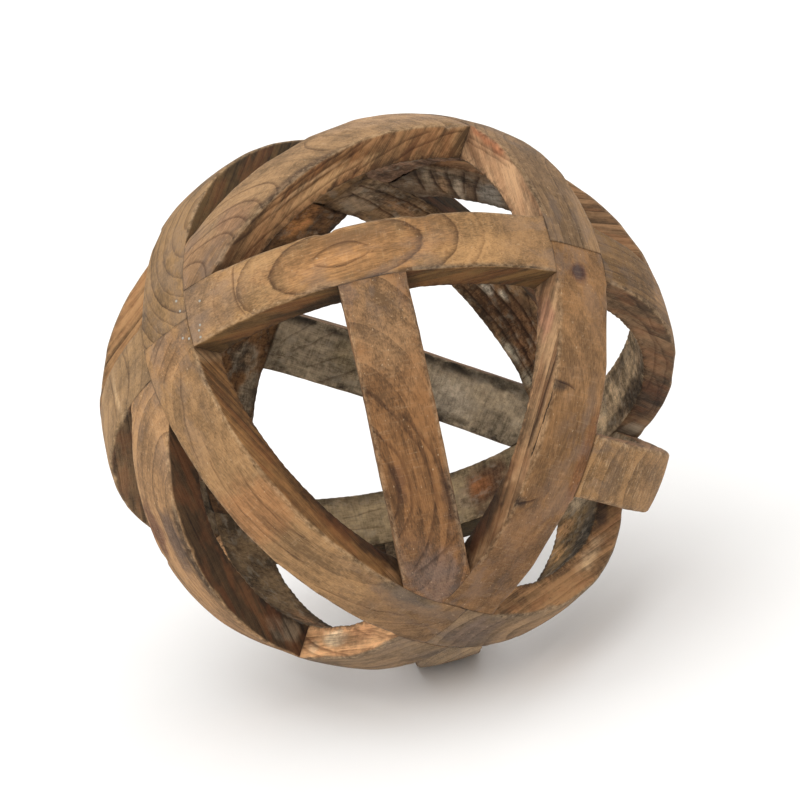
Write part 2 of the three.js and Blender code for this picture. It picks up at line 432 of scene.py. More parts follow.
# Growth rings round a pith line that runs outside the bar's outer face, counted from 20 mm at the
# face. Where the pith comes nearest, the rings show as an oval eye. The rings swerve round a knot.
def growthRings(points, board, facts, look):
    seed = look["seed"]
    rings = np.full(len(points), 1e3)
    places = []
    for eyeArc, eyeAcross, pith in look["eyes"]:
        turn, tilt = eyeArc / radius, math.radians(look["turn"])
        out = board["outward"] * math.cos(turn) + board["along"] * math.sin(turn)
        run = board["along"] * math.cos(turn) - board["outward"] * math.sin(turn)
        grain = run * math.cos(tilt) + board["normal"] * math.sin(tilt)
        offset = points - out * (radius + pith) - board["normal"] * eyeAcross
        place = np.stack([offset @ grain, offset @ np.cross(out, grain), offset @ out], axis=1)
        places.append(place)
        rings = np.minimum(rings, np.hypot(place[:, 1], place[:, 2]) - pith + 20)
    stretched = places[0] * (0.35, 1, 1)
    wander = 3.0 * lumps(stretched, 26, seed + 20) + 0.8 * lumps(stretched, 9, seed + 21)
    rings += look["wander"] * wander
    for arc, across, size in look["knots"]:
        away = np.hypot(facts["arc"] - arc, facts["across"] - across) / size
        rings -= 1.6 * size * np.exp(-away ** 2 / 2)
    return rings, places[0]


# Stains and worn patches, each laid over the ones before it, and on the top strut a painted
# highlight. A stain is its face, its place along the arc and across or deep, its reach both ways,
# its colour and its strength. The colour is kept multiplied by its strength, so that it fades out
# without a rim.
def stainPoints(points, facts, look):
    colour = np.zeros((len(points), 3))
    clear = np.ones(len(points))
    ragged = 0.3 * lumps(points, 7, look["seed"] + 30)
    ragged += 0.25 * lumps(points, 2.5, look["seed"] + 31)
    for face, arc, level, reachAlong, reachAcross, hexColour, strength in look["stains"]:
        along, over = facts["arc"] - arc, facts["level"][face] - level
        away = np.hypot(along / reachAlong, over / reachAcross) + ragged
        share = strength * smoothStep(1.3, 0.5, away) * facts["on"][face]
        colour += share[:, None] * (np.array(linear(hexColour)[:3]) - colour)
        clear *= 1 - share
    return np.column_stack([colour, 1 - clear])


# Old teak, sanded by hand outside and sawn inside. The eye sees dark late wood between paler
# bands, fibres and pores along the grain, darker and greyer weathered patches, pale sanding
# scratches across the grain, and inside it soot and old lime. Dry wood has only a dull sheen.
# Painted shade darkens it near other bars and toward the inside, and a pale line along its outer
# arrises is partly wear and partly a painted highlight.
teak = {
    "line": "#7b6350",
    "mark": "#745a4a",
    "pore": "#94806c",
    # Pale wood for scratches, nicks and the arris line, where it is partly a painted highlight
    "paleWood": "#c6aa86",
    # Near black for soot, seams, cracks and dark arris lines, and for the painted shade near other
    # bars and toward the inside
    "nearBlack": "#221b15",
    "lime": "#a99b86",
    "weathered": "#6c6059",
    "red": "#94562f",
    "roughness": 0.8,
    "specular": 0.25,
    # How pale and how dark the wood runs about its middle tone, and what makes it so
    "spread": {"outer": (1.5, 0.6), "side": (1.6, 0.45), "inner": (1.75, 0.4)},
    "mix": {  # kerf is the saw's fine marks across the grain
        "outer": {"fibre": 0.35, "streak": 0.25, "tone": 0.5, "mottle": 0.22, "band": 0.4},
        "side": {"fibre": 0.25, "streak": 0.4, "tone": 0.6, "mottle": 0.2, "band": 0.5},
        "inner": {"kerf": 0.22, "fibre": 0.2, "tone": 0.6, "streak": 0.25, "mottle": 0.4},
    },
    "relief": {"fibre": 0.4, "mottle": 0.5, "late": -0.5, "scratches": 0.25, "kerf": 0.3},
    "reliefDepth": 0.5,  # mm
    # Clouds: what each follows, its sizes in mm, its detail and roughness, and the part of its
    # range that shows. Fibres and pores are drawn about three times as coarse as the real ones.
    "clouds": {
        "fibre": ("grain", (15, 0.6, 0.6), 4, 0.62, 0.34, 0.66),
        "streak": ("flow", (3.0, 60, 30), 3, 0.6, 0.34, 0.66),
        "tone": ("grain", (50, 15, 15), 3, 0.55, 0.32, 0.68),
        "mottle": ("place", (3.5, 2.4, 3), 5, 0.7, 0.36, 0.64),
        "pores": ("grain", (6, 0.5, 0.5), 2, 0.5, 0.62, 0.72),
        "scratches": ("place", (0.8, 9, 4), 3, 0.6, 0.5, 0.72),
        "nicks": ("place", (1.8, 1.2, 1.8), 2, 0.5, 0.69, 0.75),
        "kerf": ("place", (0.9, 7, 5), 3, 0.6, 0.36, 0.64),
        "sooty": ("place", (24, 10, 6), 5, 0.62, 0.5, 0.66),
        "limed": ("place", (9, 6, 5), 5, 0.66, 0.5, 0.66),
        "reddish": ("grain", (26, 6, 6), 3, 0.6, 0.45, 0.62),
        "patchy": ("place", (16, 9, 9), 4, 0.6, 0.44, 0.6),
        "wobble": ("grain", (30, 2.6, 2.6), 3, 0.5, 0.2, 0.8),
    },
}


def makeTeak(name, look):
    material = bpy.data.materials.new("sandedTeak_" + name)
    material.use_nodes = True
    tree = material.node_tree
    tree.nodes.clear()
    fact = {
        key: addNode(tree, "ShaderNodeAttribute", {"attribute_name": key}).outputs[output]
        for key, output in (
            ("grain", "Vector"), ("flow", "Vector"), ("place", "Vector"), ("face", "Vector"),
            ("crack", "Vector"), ("mark", "Color"), ("near", "Fac"), ("arris", "Fac"),
            ("stain", "Color"))
    }
    faces = addNode(tree, "ShaderNodeSeparateXYZ", None, {0: fact["face"]})
    mask = {face: faces.outputs[i] for i, face in enumerate(("outer", "side", "inner"))}
    for i, (key, cloud) in enumerate(teak["clouds"].items()):
        follows, sizes, detail, roughness, low, high = cloud
        moved = addNode(tree, "ShaderNodeMapping", None, {
            "Vector": fact[follows], "Scale": [1 / size for size in sizes],
            "Location": (look["seed"] * 3.7, look["seed"] * 1.3 + i * 5.1, i * 2.9)})
        noise = addNode(tree, "ShaderNodeTexNoise", None, {
            "Vector": moved, "Scale": 1.0, "Detail": detail, "Roughness": roughness})
        mask[key] = addNode(tree, "ShaderNodeMapRange", {"interpolation_type": "SMOOTHSTEP"}, {
            "Value": noise, "From Min": low, "From Max": high})

    # Growth rings: each darkens slowly to its late wood and ends sharply, and no two are as strong
    flow = addNode(tree, "ShaderNodeSeparateXYZ", None, {0: fact["flow"]})
    bent = addNode(tree, "ShaderNodeMath", {"operation": "MULTIPLY_ADD"}, {
        0: mask["wobble"], 1: look["wobble"], 2: flow})
    phase = addNode(tree, "ShaderNodeMath", {"operation": "MULTIPLY_ADD"}, {
        0: bent, 1: 1 / look["spacing"], 2: look["shift"]})
    part = addNode(tree, "ShaderNodeMath", {"operation": "FRACT"}, {0: phase})
    whole = addNode(tree, "ShaderNodeMath", {"operation": "FLOOR"}, {0: phase})
    which = addNode(tree, "ShaderNodeTexWhiteNoise", {"noise_dimensions": "1D"}, {"W": whole})
    drift = addNode(tree, "ShaderNodeMath", {"operation": "MULTIPLY_ADD"}, {
        0: part, 1: -0.5, 2: which.outputs[0]})
    mask["band"] = addNode(tree, "ShaderNodeMath", {"operation": "ADD"}, {0: drift, 1: 0.25})
    width = addNode(tree, "ShaderNodeVectorMath", {"operation": "DOT_PRODUCT"}, {
        0: fact["face"], 1: (look["fineness"], 6.0, 7.0)})
    ridge = addNode(tree, "ShaderNodeMath", {"operation": "POWER"}, {0: part, 1: width.outputs[1]})
    edge = addNode(tree, "ShaderNodeMapRange", {"interpolation_type": "SMOOTHSTEP"}, {
        "Value": part, "From Min": 1.0, "From Max": 0.95})
    strong = addNode(tree, "ShaderNodeSeparateColor", None, {0: which.outputs[1]})
    strong = addNode(tree, "ShaderNodeMapRange", None, {
        "Value": strong.outputs[1], "From Min": 0.1, "From Max": 0.8, "To Min": look["faintest"]})
    late = addNode(tree, "ShaderNodeMath", {"operation": "MULTIPLY"}, {0: ridge, 1: edge})
    late = addNode(tree, "ShaderNodeMath", {"operation": "MULTIPLY"}, {0: late, 1: strong})
    fading = addNode(tree, "ShaderNodeMapRange", None, {
        "Value": flow, "From Min": look["fade"][1], "From Max": look["fade"][0]})
    mask["late"] = addNode(tree, "ShaderNodeMath", {"operation": "MULTIPLY"}, {0: late, 1: fading})
    mask["lateFace"] = addNode(tree, "ShaderNodeVectorMath", {"operation": "DOT_PRODUCT"}, {
        0: fact["face"], 1: (look["lines"], look["sideLines"], look["innerLines"])}).outputs[1]

    # Where dirt gathers, where shade and a highlight are painted, and where drawn lines lie. Each
    # mask has what it is read from, and the values, in mm or half widths, at which it is none and
    # full.
    place = addNode(tree, "ShaderNodeSeparateXYZ", None, {0: fact["place"]})
    crack = addNode(tree, "ShaderNodeSeparateXYZ", None, {0: fact["crack"]})
    beside = addNode(tree, "ShaderNodeMath", {"operation": "ABSOLUTE"}, {0: crack})
    mark = addNode(tree, "ShaderNodeSeparateColor", None, {0: fact["mark"]})
    mask["stained"] = fact["stain"].node.outputs["Alpha"]
    for key, value, low, high in (
        ("arrisLine", fact["arris"], 2.6, 0.4), ("corner", fact["near"], 7.0, 0.0),
        ("crossing", fact["near"], 32.0, 4.0), ("seam", fact["near"], 0.9, 0.25),
        ("rim", fact["arris"], 7.0, 1.0),
        ("deep", place.outputs[2], innerRadius + 7, innerRadius),
        ("crackWide", beside, 1.0, 0.55), ("crackLong", crack.outputs[1], 0.0, -2.5),
        ("oddRise", mark.outputs[0], -2.8, 0.2), ("oddFall", mark.outputs[0], 0.9, 0.2),
        ("oddLong", mark.outputs[1], 0.0, -3.0),
        ("evenRise", mark.outputs[2], -2.8, 0.2), ("evenFall", mark.outputs[2], 0.9, 0.2),
        ("evenLong", fact["mark"].node.outputs["Alpha"], 0.0, -3.0),
    ):
        mask[key] = addNode(tree, "ShaderNodeMapRange", {"interpolation_type": "SMOOTHSTEP"}, {
            "Value": value, "From Min": low, "From Max": high})
    for key, source in (("sunken", "outer"), ("unmottled", "mottle")):
        mask[key] = addNode(tree, "ShaderNodeMath", {"operation": "SUBTRACT"}, {
            0: 1.0, 1: mask[source]})

    # Each face's middle colour, and how pale or dark its wood runs about it
    colour, tone = linear(look["outer"]), 1.0
    for face in ("outer", "side", "inner"):
        amounts = {
            key: amount * look["contrast"][face] * (look["bands"] if key == "band" else 1)
            for key, amount in teak["mix"][face].items()}
        share = 0.5 - sum(amounts.values()) / 2
        for key, amount in amounts.items():
            share = addNode(tree, "ShaderNodeMath", {"operation": "MULTIPLY_ADD"}, {
                0: mask[key], 1: amount, 2: share})
        pale, dark = teak["spread"][face]
        runs = addNode(tree, "ShaderNodeMapRange", None, {
            "Value": share, "To Min": dark, "To Max": pale})
        tone = addNode(tree, "ShaderNodeMix", None, {0: mask[face], 2: tone, 3: runs})
        colour = addNode(tree, "ShaderNodeMix", {"data_type": "RGBA"}, {
            0: mask[face], 6: colour, 7: linear(look[face])}).outputs[2]

    # What lies on it, from the first to the last: how it mixes, its colour, its strength, and where.
    # Stains come first, in two steps: the wood's own colour is taken out, and theirs is put in.
    for how, laid, strength, masks in (
        ("MIX", linear("#000000"), 1.0, ("stained",)),
        ("ADD", fact["stain"], 1.0, ()),
        ("MULTIPLY", tone, 1.0, ()),
        ("MULTIPLY", linear(teak["line"]), 1.0, ("late", "lateFace")),
        ("MULTIPLY", linear(teak["pore"]), 0.6, ("pores",)),
        ("MIX", linear(teak["red"]), look["red"], ("reddish", "side")),
        ("MIX", linear(teak["weathered"]), look["grey"], ("patchy", "crossing", "outer")),
        ("MIX", linear(teak["paleWood"]), look["paleWood"], ("scratches", "outer", "mottle")),
        ("MIX", linear(teak["paleWood"]), 0.45, ("nicks", "outer")),
        ("MIX", linear(teak["lime"]), look["lime"], ("limed", "inner")),
        ("MIX", linear(teak["nearBlack"]), look["nearBlack"], ("sooty", "inner")),
        ("MIX", linear(teak["nearBlack"]), look["rim"], ("rim", "patchy", "inner")),
        ("MULTIPLY", linear(teak["mark"]), look["marked"], ("oddRise", "oddFall", "oddLong")),
        ("MULTIPLY", linear(teak["mark"]), look["marked"], ("evenRise", "evenFall", "evenLong")),
        # A pale line along the outer arrises, partly worn wood and partly a painted highlight, then
        # a near-black line along the arrises where the wood isn't mottled.
        ("MIX", linear(teak["paleWood"]), look["arrisLine"], ("arrisLine", "outer", "mottle")),
        ("MIX", linear(teak["nearBlack"]), 0.35, ("arrisLine", "unmottled")),
        # Sides darken toward the inner face: partly soot, partly painted shade toward the ball's
        # hollow inside.
        ("MIX", linear(teak["nearBlack"]), look["grimeAndShade"], ("deep", "side", "unmottled")),
        # Painted shade: all but the outer faces darken near the other bars, where those bars would
        # shade them.
        ("MIX", linear(teak["nearBlack"]), look["corner"], ("corner", "sunken")),
        ("MIX", linear(teak["nearBlack"]), 0.5, ("seam", "patchy")),
        ("MIX", linear(teak["nearBlack"]), 0.1, ("seam",)),
        ("MIX", linear(teak["nearBlack"]), 0.9, ("crackWide", "crackLong")),
    ):
        share = strength
        for key in masks:
            share = addNode(tree, "ShaderNodeMath", {"operation": "MULTIPLY"}, {
                0: mask[key], 1: share})
        colour = addNode(tree, "ShaderNodeMix", {"data_type": "RGBA", "blend_type": how}, {
            0: share, 6: colour, 7: laid}).outputs[2]

    height = 0.0
    for key, amount in teak["relief"].items():
        height = addNode(tree, "ShaderNodeMath", {"operation": "MULTIPLY_ADD"}, {
            0: mask[key], 1: amount, 2: height})
    relief = addNode(tree, "ShaderNodeBump", None, {
        "Strength": 0.5, "Distance": teak["reliefDepth"] * millimetre, "Height": height})
    surface = addNode(tree, "ShaderNodeBsdfPrincipled", None, {
        "Base Color": colour, "Roughness": teak["roughness"],
        "Specular IOR Level": teak["specular"], "Normal": relief})
    addNode(tree, "ShaderNodeOutputMaterial", None, {0: surface})
    return material


# What a bar is like where its own entry below says nothing else. Lengths are in mm and turns in
# degrees, and a value without a unit is a strength, where 1 is full.
plain = {
    "slot": "teak_brown",
    "outer": "#806244", "side": "#745739", "inner": "#7a664d",  # the middle tone of each face
    # Growth rings. An eye is its place along the arc and across, and how far the pith is outside
    # the face. Lines fade out between the two distances from the pith.
    "eyes": [(0, 0, 22)], "turn": 3, "wander": 0.35, "wobble": 0.35,
    "spacing": 4.0, "shift": 0.0, "fade": (200, 300),
    "fineness": 7.0,  # how thin the late wood is in a ring
    "lines": 0.8, "sideLines": 0.65, "innerLines": 0.5,
    "faintest": 0.3,  # how strong the faintest line is
    "bands": 1.0,  # how much whole rings differ in tone
    # How much the tone of each face varies, and how strong its drawn lines, dirt and wear are, and
    # the painted shade near other bars and toward the inside, and the pale arris line, which is
    # partly a painted highlight
    "contrast": {"outer": 1.3, "side": 1.2, "inner": 1.3},
    "marked": 0.45, "red": 0.2, "grey": 0.3, "paleWood": 0.15, "lime": 0.4, "nearBlack": 0.4, "rim": 0.6,
    "arrisLine": 0.25, "grimeAndShade": 0.5, "corner": 0.35,
    "knots": [], "cracks": [], "marks": [], "stains": [], "brads": [],
}
# Each hoop's four bars, then the struts. Places are along the arc from its middle to its higher
# end, and across. The two sides are high and low, where across is above and below nought. A knot
# has its size, and cracks, marks and stains are as the functions above say.
# A bar's side tone below also holds painted light and shade: sides that lie in shade are painted
# darker, and sides that catch the light paler.
bars = {
    "lower_left_front_bar": {
        "slot": "teak_honey", "outer": "#876744", "side": "#785531",
        "eyes": [(0, -20, 8)], "spacing": 3.6, "lines": 0.22, "bands": 0.5,
        "marks": [
            ("outer", 6, 6.5, 32, 0, -0.3, 0.5), ("outer", 4, -4, 24, 0, -0.5, 0.5),
            ("outer", 83, 1, 10, -52, 0, 0.5), ("outer", 88, 3, 10, -52, 0, 0.4),
            ("outer", 94, 4, 10, -48, 0, 0.5), ("outer", -88, 3, 11, 42, 0, 0.4),
            ("outer", -78, 6, 12, 30, 0, 0.4), ("outer", 58, 4, 22, -20, -0.3, 0.4),
            ("outer", -56, 6, 22, 14, -0.3, 0.4),
        ],
        "stains": [
            ("outer", -84, 0, 36, 34, "#6a5037", 0.75), ("low", -28, 13, 34, 6, "#4d3119", 0.7),
            ("low", 80, 8, 5, 12, "#b08f69", 0.6), ("low", -59, 8, 4, 10, "#a07a54", 0.6),
            ("outer", 6, 2, 16, 22, "#96623a", 0.4), ("outer", -70, -12, 14, 4, "#4e463a", 0.6),
            ("outer", 88, -1, 12, 12, "#ab7f57", 0.3), ("low", -45, 14, 26, 6, "#2c1d12", 0.7),
        ],
        "brads": [(89.9, -10.3), (87.8, -13.1)],
    },
    "upper_left_back_bar": {
        "outer": "#806341", "side": "#4d3a21", "inner": "#8a6a47",
        "eyes": [(-35, -16, 22)], "spacing": 3.4, "lines": 1.0, "faintest": 0.6,
        "brads": [(-86.3, -10.3), (-91.7, -11.2)],
    },
    "upper_right_back_bar": {
        "slot": "teak_dark", "outer": "#7d6040", "side": "#312310", "inner": "#84684a",
        "eyes": [(30, -18, 12)], "spacing": 3.6, "innerLines": 1.0,
        "marked": 0.8,
        "marks": [
            ("inner", -30, 7, 34, 2, 0, 0.9), ("inner", -28, 2, 34, -1, 0, 0.9),
            ("inner", -30, -4, 36, 1, 0, 1.0), ("inner", -26, -9, 34, -1, 0, 0.9),
            ("inner", 70, 8, 24, -4, 0, 0.7), ("inner", 74, -2, 20, 6, 0, 0.7),
        ],
        "stains": [
            ("inner", -30, 0, 34, 12, "#7c5032", 0.5), ("inner", -12, 4, 4.5, 2.2, "#e0d2b8", 0.9),
            ("inner", -4, 0, 4, 3, "#e8dac2", 0.9), ("inner", -38, -11, 9, 3, "#c4b8a0", 0.8),
            ("inner", -56, -10, 6, 4, "#b3a78f", 0.7), ("inner", 64, 4, 16, 5, "#97704f", 0.5),
            ("inner", 82, 0, 12, 12, "#9d8b74", 0.4),
        ],
    },
    "lower_right_back_bar": {
        "slot": "teak_dark", "outer": "#766048", "side": "#886542", "inner": "#735d40",
        "eyes": [(-20, 0, 25)],
        "stains": [
            ("outer", -40, -4, 26, 16, "#987a5a", 0.7), ("inner", 20, 10, 34, 6, "#3f3a32", 0.8),
            ("inner", 58, 0, 7, 8, "#b7a488", 0.6), ("inner", 22, -8, 10, 7, "#c49763", 0.85),
            ("inner", 45, -7, 8, 6, "#b88c5e", 0.75), ("high", 12, 9, 16, 4, "#bfa07a", 0.65),
            ("high", 42, 12, 11, 4, "#3a2c22", 0.75), ("outer", -80, 0, 12, 12, "#6a5850", 0.5),
        ],
    },
    "right_front_bar": {
        "outer": "#7c5a38", "side": "#9c7b59",
        "eyes": [(10, 30, 60)], "spacing": 6.0, "fineness": 5.0, "lines": 0.1, "bands": 0.2,
        "marked": 0.8,
        "knots": [(81, 2.5, 3.4)],
        "cracks": [("high", 11, 2.4, 18, -5, -0.35, 0.6)],
        "marks": [
            ("outer", -26, 10, 7, -60, 0, 0.6), ("outer", 28, 9, 7, 75, 1, 0.6),
            ("high", 20, 5, 24, -8, -0.3, 0.8),
        ],
        "stains": [
            ("outer", -42, 0, 22, 24, "#684a2f", 0.6), ("outer", 40, 0, 22, 24, "#8c6844", 0.6),
            ("high", -40, 10, 34, 14, "#5a3c22", 0.75), ("high", 8, 8, 20, 10, "#a5805a", 0.5),
            ("outer", -66, 0, 22, 18, "#5c432f", 0.4), ("outer", 81, 2.5, 5.2, 4.6, "#4c3129", 0.7),
            ("outer", 81, 2.5, 3.6, 3.2, "#331f1a", 0.9),
            ("outer", -26, 12, 2.5, 4, "#3a2a1e", 0.8), ("outer", 27, 12, 2.2, 4, "#3a2a1e", 0.8),
            ("high", -45, 13, 26, 6, "#20160e", 0.8), ("high", 62, 9, 12, 6, "#8a5a4a", 0.5),
            ("outer", -4, -12, 22, 4, "#7a4a2a", 0.5),
        ],
    },
    "lower_left_back_bar": {
        "outer": "#776149", "side": "#c4966a", "inner": "#755f44",
        "eyes": [(-40, 30, 30)], "spacing": 3.0, "sideLines": 0.3, "bands": 0.6,
        "corner": 0.2,
        "marks": [
            ("low", -38, 4, 18, 14, 0, 0.9), ("low", -28, 7, 14, 17, 0, 0.8),
            ("low", -27, 3, 12, 15, 0, 0.7), ("low", -76, 5, 14, 26, 0, 0.8),
            ("low", -66, 8, 14, 24, 0, 0.6),
        ],
        "stains": [
            ("outer", -45, 4, 22, 14, "#937758", 0.7), ("inner", 0, 10, 30, 5, "#4d3a28", 0.7),
            ("low", -42, 10, 9, 4, "#e0c8a4", 0.7), ("low", -26, 5, 5, 3, "#d8bd97", 0.5),
            ("low", -62, 10, 10, 4, "#ad7c56", 0.6), ("inner", 0, 0, 20, 6, "#946a48", 0.5),
        ],
    },
    "far_left_back_bar": {
        "outer": "#836344", "inner": "#725132",
        "eyes": [(-50, 22, 6)], "spacing": 3.4, "lines": 0.6,
        "stains": [
            ("inner", -24, 9, 14, 5, "#a3967f", 0.6), ("inner", -6, 3, 8, 8, "#9c8f7a", 0.7),
            ("inner", -6, 4, 5.5, 5.5, "#543f29", 0.85), ("inner", -6, 4, 2.6, 2.6, "#9c8164", 0.7),
            ("inner", 78, -6, 14, 6, "#b87f4c", 0.7),
        ],
    },
    "top_right_bar": {
        "slot": "teak_grey", "outer": "#7e6244", "side": "#a4815f", "inner": "#927158",
        "eyes": [(-90, -20, 3)], "spacing": 3.4, "sideLines": 0.1, "bands": 0.4,
        "corner": 0.2,
        "marks": [("high", -30, 3.6, 22, 7, -0.3, 0.7), ("high", -26, 6, 18, 5, -0.2, 0.6)],
        "stains": [("high", -24, 1, 16, 3, "#8f4c2c", 0.6)],
    },
    "upper_front_bar": {
        # Its side tone is the painted shade of a side that faces down.
        "slot": "teak_honey", "outer": "#96724a", "side": "#5d4426",
        "eyes": [(7, 0, 26)], "wander": 0.12, "spacing": 5.0, "shift": 0.07, "fade": (30, 38),
        "lines": 1.0, "faintest": 0.8, "bands": 0.45,
        "marked": 0.6,
        "marks": [
            ("outer", 8, -5.5, 13, 0, 2.8, -0.6), ("outer", 8, 5.5, 13, 0, -2.8, 0.6),
            ("outer", 56, 0, 14, 90, 1.6, 0.5),
        ],
        "stains": [
            ("outer", 42, 0, 16, 22, "#94744f", 0.5), ("outer", 8, 0, 13, 6, "#b98a58", 0.6),
            ("outer", -78, 0, 16, 22, "#75583b", 0.6), ("outer", 80, 0, 10, 22, "#6f5944", 0.6),
            ("outer", 5, 0, 42, 15, "#a87242", 0.35), ("outer", 72, 0, 16, 16, "#80664e", 0.45),
            ("outer", -35, 15, 55, 2.2, "#3d2c1d", 0.8), ("high", 25, 12, 24, 6, "#2c2014", 0.6),
        ],
        "brads": [(73.7, -4.7), (75.1, 7.1), (76.6, 8.8), (76.9, 12.2)],
    },
    "right_side_bar": {
        "slot": "teak_grey", "outer": "#6c5030", "side": "#755b41", "inner": "#b09776",
        "eyes": [(80, -25, 10)], "spacing": 3.2, "sideLines": 0.25, "bands": 0.5,
        "marks": [
            ("high", 0, 5, 50, 3, 0.15, 0.7), ("high", 20, 9, 46, -2, 0.1, 0.7),
            ("high", -30, 6, 20, 12, 0, 0.7), ("high", 50, 4, 22, -6, 0, 0.6),
        ],
        "stains": [
            ("outer", 8, 0, 34, 20, "#8d6b48", 0.7), ("inner", 5, 4, 26, 12, "#5d4a38", 0.7),
            ("high", -62, 8, 6, 8, "#a0937f", 0.7), ("high", -35, 8, 20, 8, "#40332a", 0.6),
            ("inner", -40, 10, 34, 6, "#3a2c20", 0.8),
        ],
    },
    "low_back_bar": {
        "slot": "teak_dark", "outer": "#775a3c", "side": "#463a25", "inner": "#9c8767",
        "eyes": [(-30, -10, 34)], "lines": 0.5, "innerLines": 0.2, "bands": 0.5,
        "contrast": {"outer": 1.4, "inner": 0.9}, "nearBlack": 0.2,
        "marks": [("inner", -28, 5, 14, 4, 0, 0.5), ("inner", -26, -3, 12, -6, 0, 0.4)],
        "stains": [
            ("inner", 27, 3, 6, 7, "#6c5a46", 0.6), ("inner", 27, 3, 4, 5, "#b09a7c", 0.7),
            ("inner", 27, 3, 2, 2.6, "#6c5a46", 0.8), ("inner", 42, 0, 12, 14, "#6b4630", 0.8),
            ("inner", 38, -1, 6, 6, "#a5683c", 0.6), ("inner", 50, 8, 14, 5, "#2c221a", 0.85),
        ],
    },
    "left_side_bar": {
        "outer": "#8b6d4a", "side": "#6d5439",
        "eyes": [(10, 5, 30)], "spacing": 3.6, "lines": 0.4,
        "contrast": {"outer": 1.0}, "grey": 0.1,
        "marks": [("outer", 51, 2, 13, 90, 3, 0.8), ("outer", 69, 2, 13, 90, 3, 0.7)],
        "stains": [("outer", 54, 0, 2, 14, "#b3936c", 0.6)],
    },
    "front_strut": {
        "outer": "#714e2e",
        "eyes": [(-10, 15, 12)], "wander": 0.5, "spacing": 4.6, "shift": 0.91, "fade": (29, 42),
        "fineness": 5.0, "lines": 0.5,
        "contrast": {"outer": 1.7, "inner": 1.2}, "marked": 0.5,
        "marks": [
            ("outer", -10, -6, 46, 4, 0.9, 1.0), ("outer", -14, -11, 34, 5, 0.8, 0.9),
            ("outer", -12, 3, 32, 0, 1.5, 0.9), ("outer", -12, 8, 20, 0, 2.2, 0.8),
            ("outer", -50, -3, 14, -52, 0.5, 0.9),
        ],
        "stains": [
            ("outer", 52, 0, 34, 22, "#7f5d3d", 0.6), ("outer", -12, 7, 9, 3, "#4a2f20", 0.6),
            ("outer", -62, 0, 16, 12, "#64534a", 0.6), ("outer", -24, -12, 16, 3, "#3a281c", 0.7),
            ("outer", 60, 0, 24, 14, "#86694a", 0.45),
        ],
    },
    "top_strut": {
        "slot": "teak_honey", "outer": "#8e6f4d", "side": "#866341",
        "eyes": [(-72, -30, 60)], "spacing": 3.2, "lines": 0.35, "sideLines": 0.2, "bands": 0.3,
        "contrast": {"side": 1.7}, "marked": 0.6,
        "marks": [
            ("outer", -22, -6, 21, 90, 6.4, 0.8), ("outer", -33, -8, 22, 90, 6.6, 1.0),
            ("outer", -43, -9, 22, 90, 6.6, 1.0), ("outer", -52, -9, 20, 90, 7, 0.9),
            ("outer", -68, -4, 12, 90, 8, 0.8), ("outer", 3, 0, 11, 90, -4, 0.8),
            ("low", -15, 7, 42, 0, -0.35, 0.8), ("low", -12, 4.5, 34, 0, -0.35, 0.7),
            ("low", -8, 2, 24, 0, -0.3, 0.6), ("low", 34, 8, 24, -14, 0.1, 0.7),
            ("low", 54, 8, 22, -17, 0.1, 0.7), ("low", -20, 12, 40, 0, -0.2, 0.6),
        ],
        "stains": [
            ("outer", -72, 0, 20, 20, "#7b5c41", 0.6), ("outer", 50, 5, 34, 14, "#a48464", 0.6),
            ("low", 0, 5, 26, 5, "#654527", 0.7), ("low", 74, 8, 6, 12, "#9c7a54", 0.6),
            ("outer", -46, -5, 12, 9, "#7d5a43", 0.5), ("outer", -12, -13, 30, 3, "#4a3628", 0.7),
            # The second stain below, a thin pale streak on the low side, is a painted highlight.
            ("low", 0, 10, 26, 3, "#b08c62", 0.6), ("low", -12, 5.5, 24, 1, "#b5926a", 0.6),
        ],
    },
    "lower_left_strut": {
        # Its side tone is the painted shade of a side that faces down.
        "slot": "teak_honey", "outer": "#93704c", "side": "#412f1d",
        "eyes": [(0, -20, 4)], "spacing": 3.6, "fineness": 5.0, "lines": 0.45,
        "stains": [
            ("outer", 12, 8, 14, 5, "#5b3b2c", 0.8), ("outer", 8, -5, 18, 6, "#55443a", 0.8),
            ("outer", 5, -13, 28, 3, "#2c2018", 0.8), ("low", -65, 9, 10, 5, "#8c7a64", 0.5),
        ],
    },
    "left_side_strut": {
        "outer": "#8a6a48", "side": "#94704b",
        "eyes": [(0, -18, 12)], "spacing": 3.4,
    },
    "upper_right_strut": {
        "slot": "teak_dark", "outer": "#7e6044", "side": "#795c40", "inner": "#715c47",
        "eyes": [(60, 16, 10)], "spacing": 3.2,
        "marked": 0.8,
        "marks": [
            ("inner", 35, 0, 14, 100, 1, 1.3), ("inner", 41, 2, 12, 98, 0, 0.9),
            ("inner", 48, -2, 14, 78, 1, 1.3), ("inner", 56, 0, 12, 74, 1.5, 1.1),
            ("inner", 64, 2, 12, 80, 0, 1.0),
        ],
        "stains": [
            ("inner", 27, -3, 7, 10, "#a09b90", 0.6), ("inner", 44, -2, 3, 12, "#c8b49a", 0.6),
            ("inner", 52, 2, 2.5, 12, "#b48f6a", 0.6), ("inner", 60, 5, 3, 10, "#c0aa8c", 0.5),
        ],
    },
    "right_side_strut": {
        "outer": "#81613e", "side": "#806245",
        "eyes": [(-8, 0, 24)], "spacing": 3.2, "lines": 0.6,
        "paleWood": 0.6,
    },
    "bottom_strut": {
        "slot": "teak_grey", "outer": "#8e775c",
        "eyes": [(0, -20, 6)],
    },
    "back_strut": {
        "slot": "teak_grey", "outer": "#84674a", "inner": "#9f8d73",
        "eyes": [(60, 20, 10)], "spacing": 5.0, "innerLines": 0.1,
        "contrast": {"outer": 1.4, "inner": 0.9}, "nearBlack": 0.2, "rim": 0.9,
        "marks": [
            ("inner", 54, 6, 17, -38, 0.4, 0.6), ("inner", 36, -7, 14, -34, 0.6, 0.6),
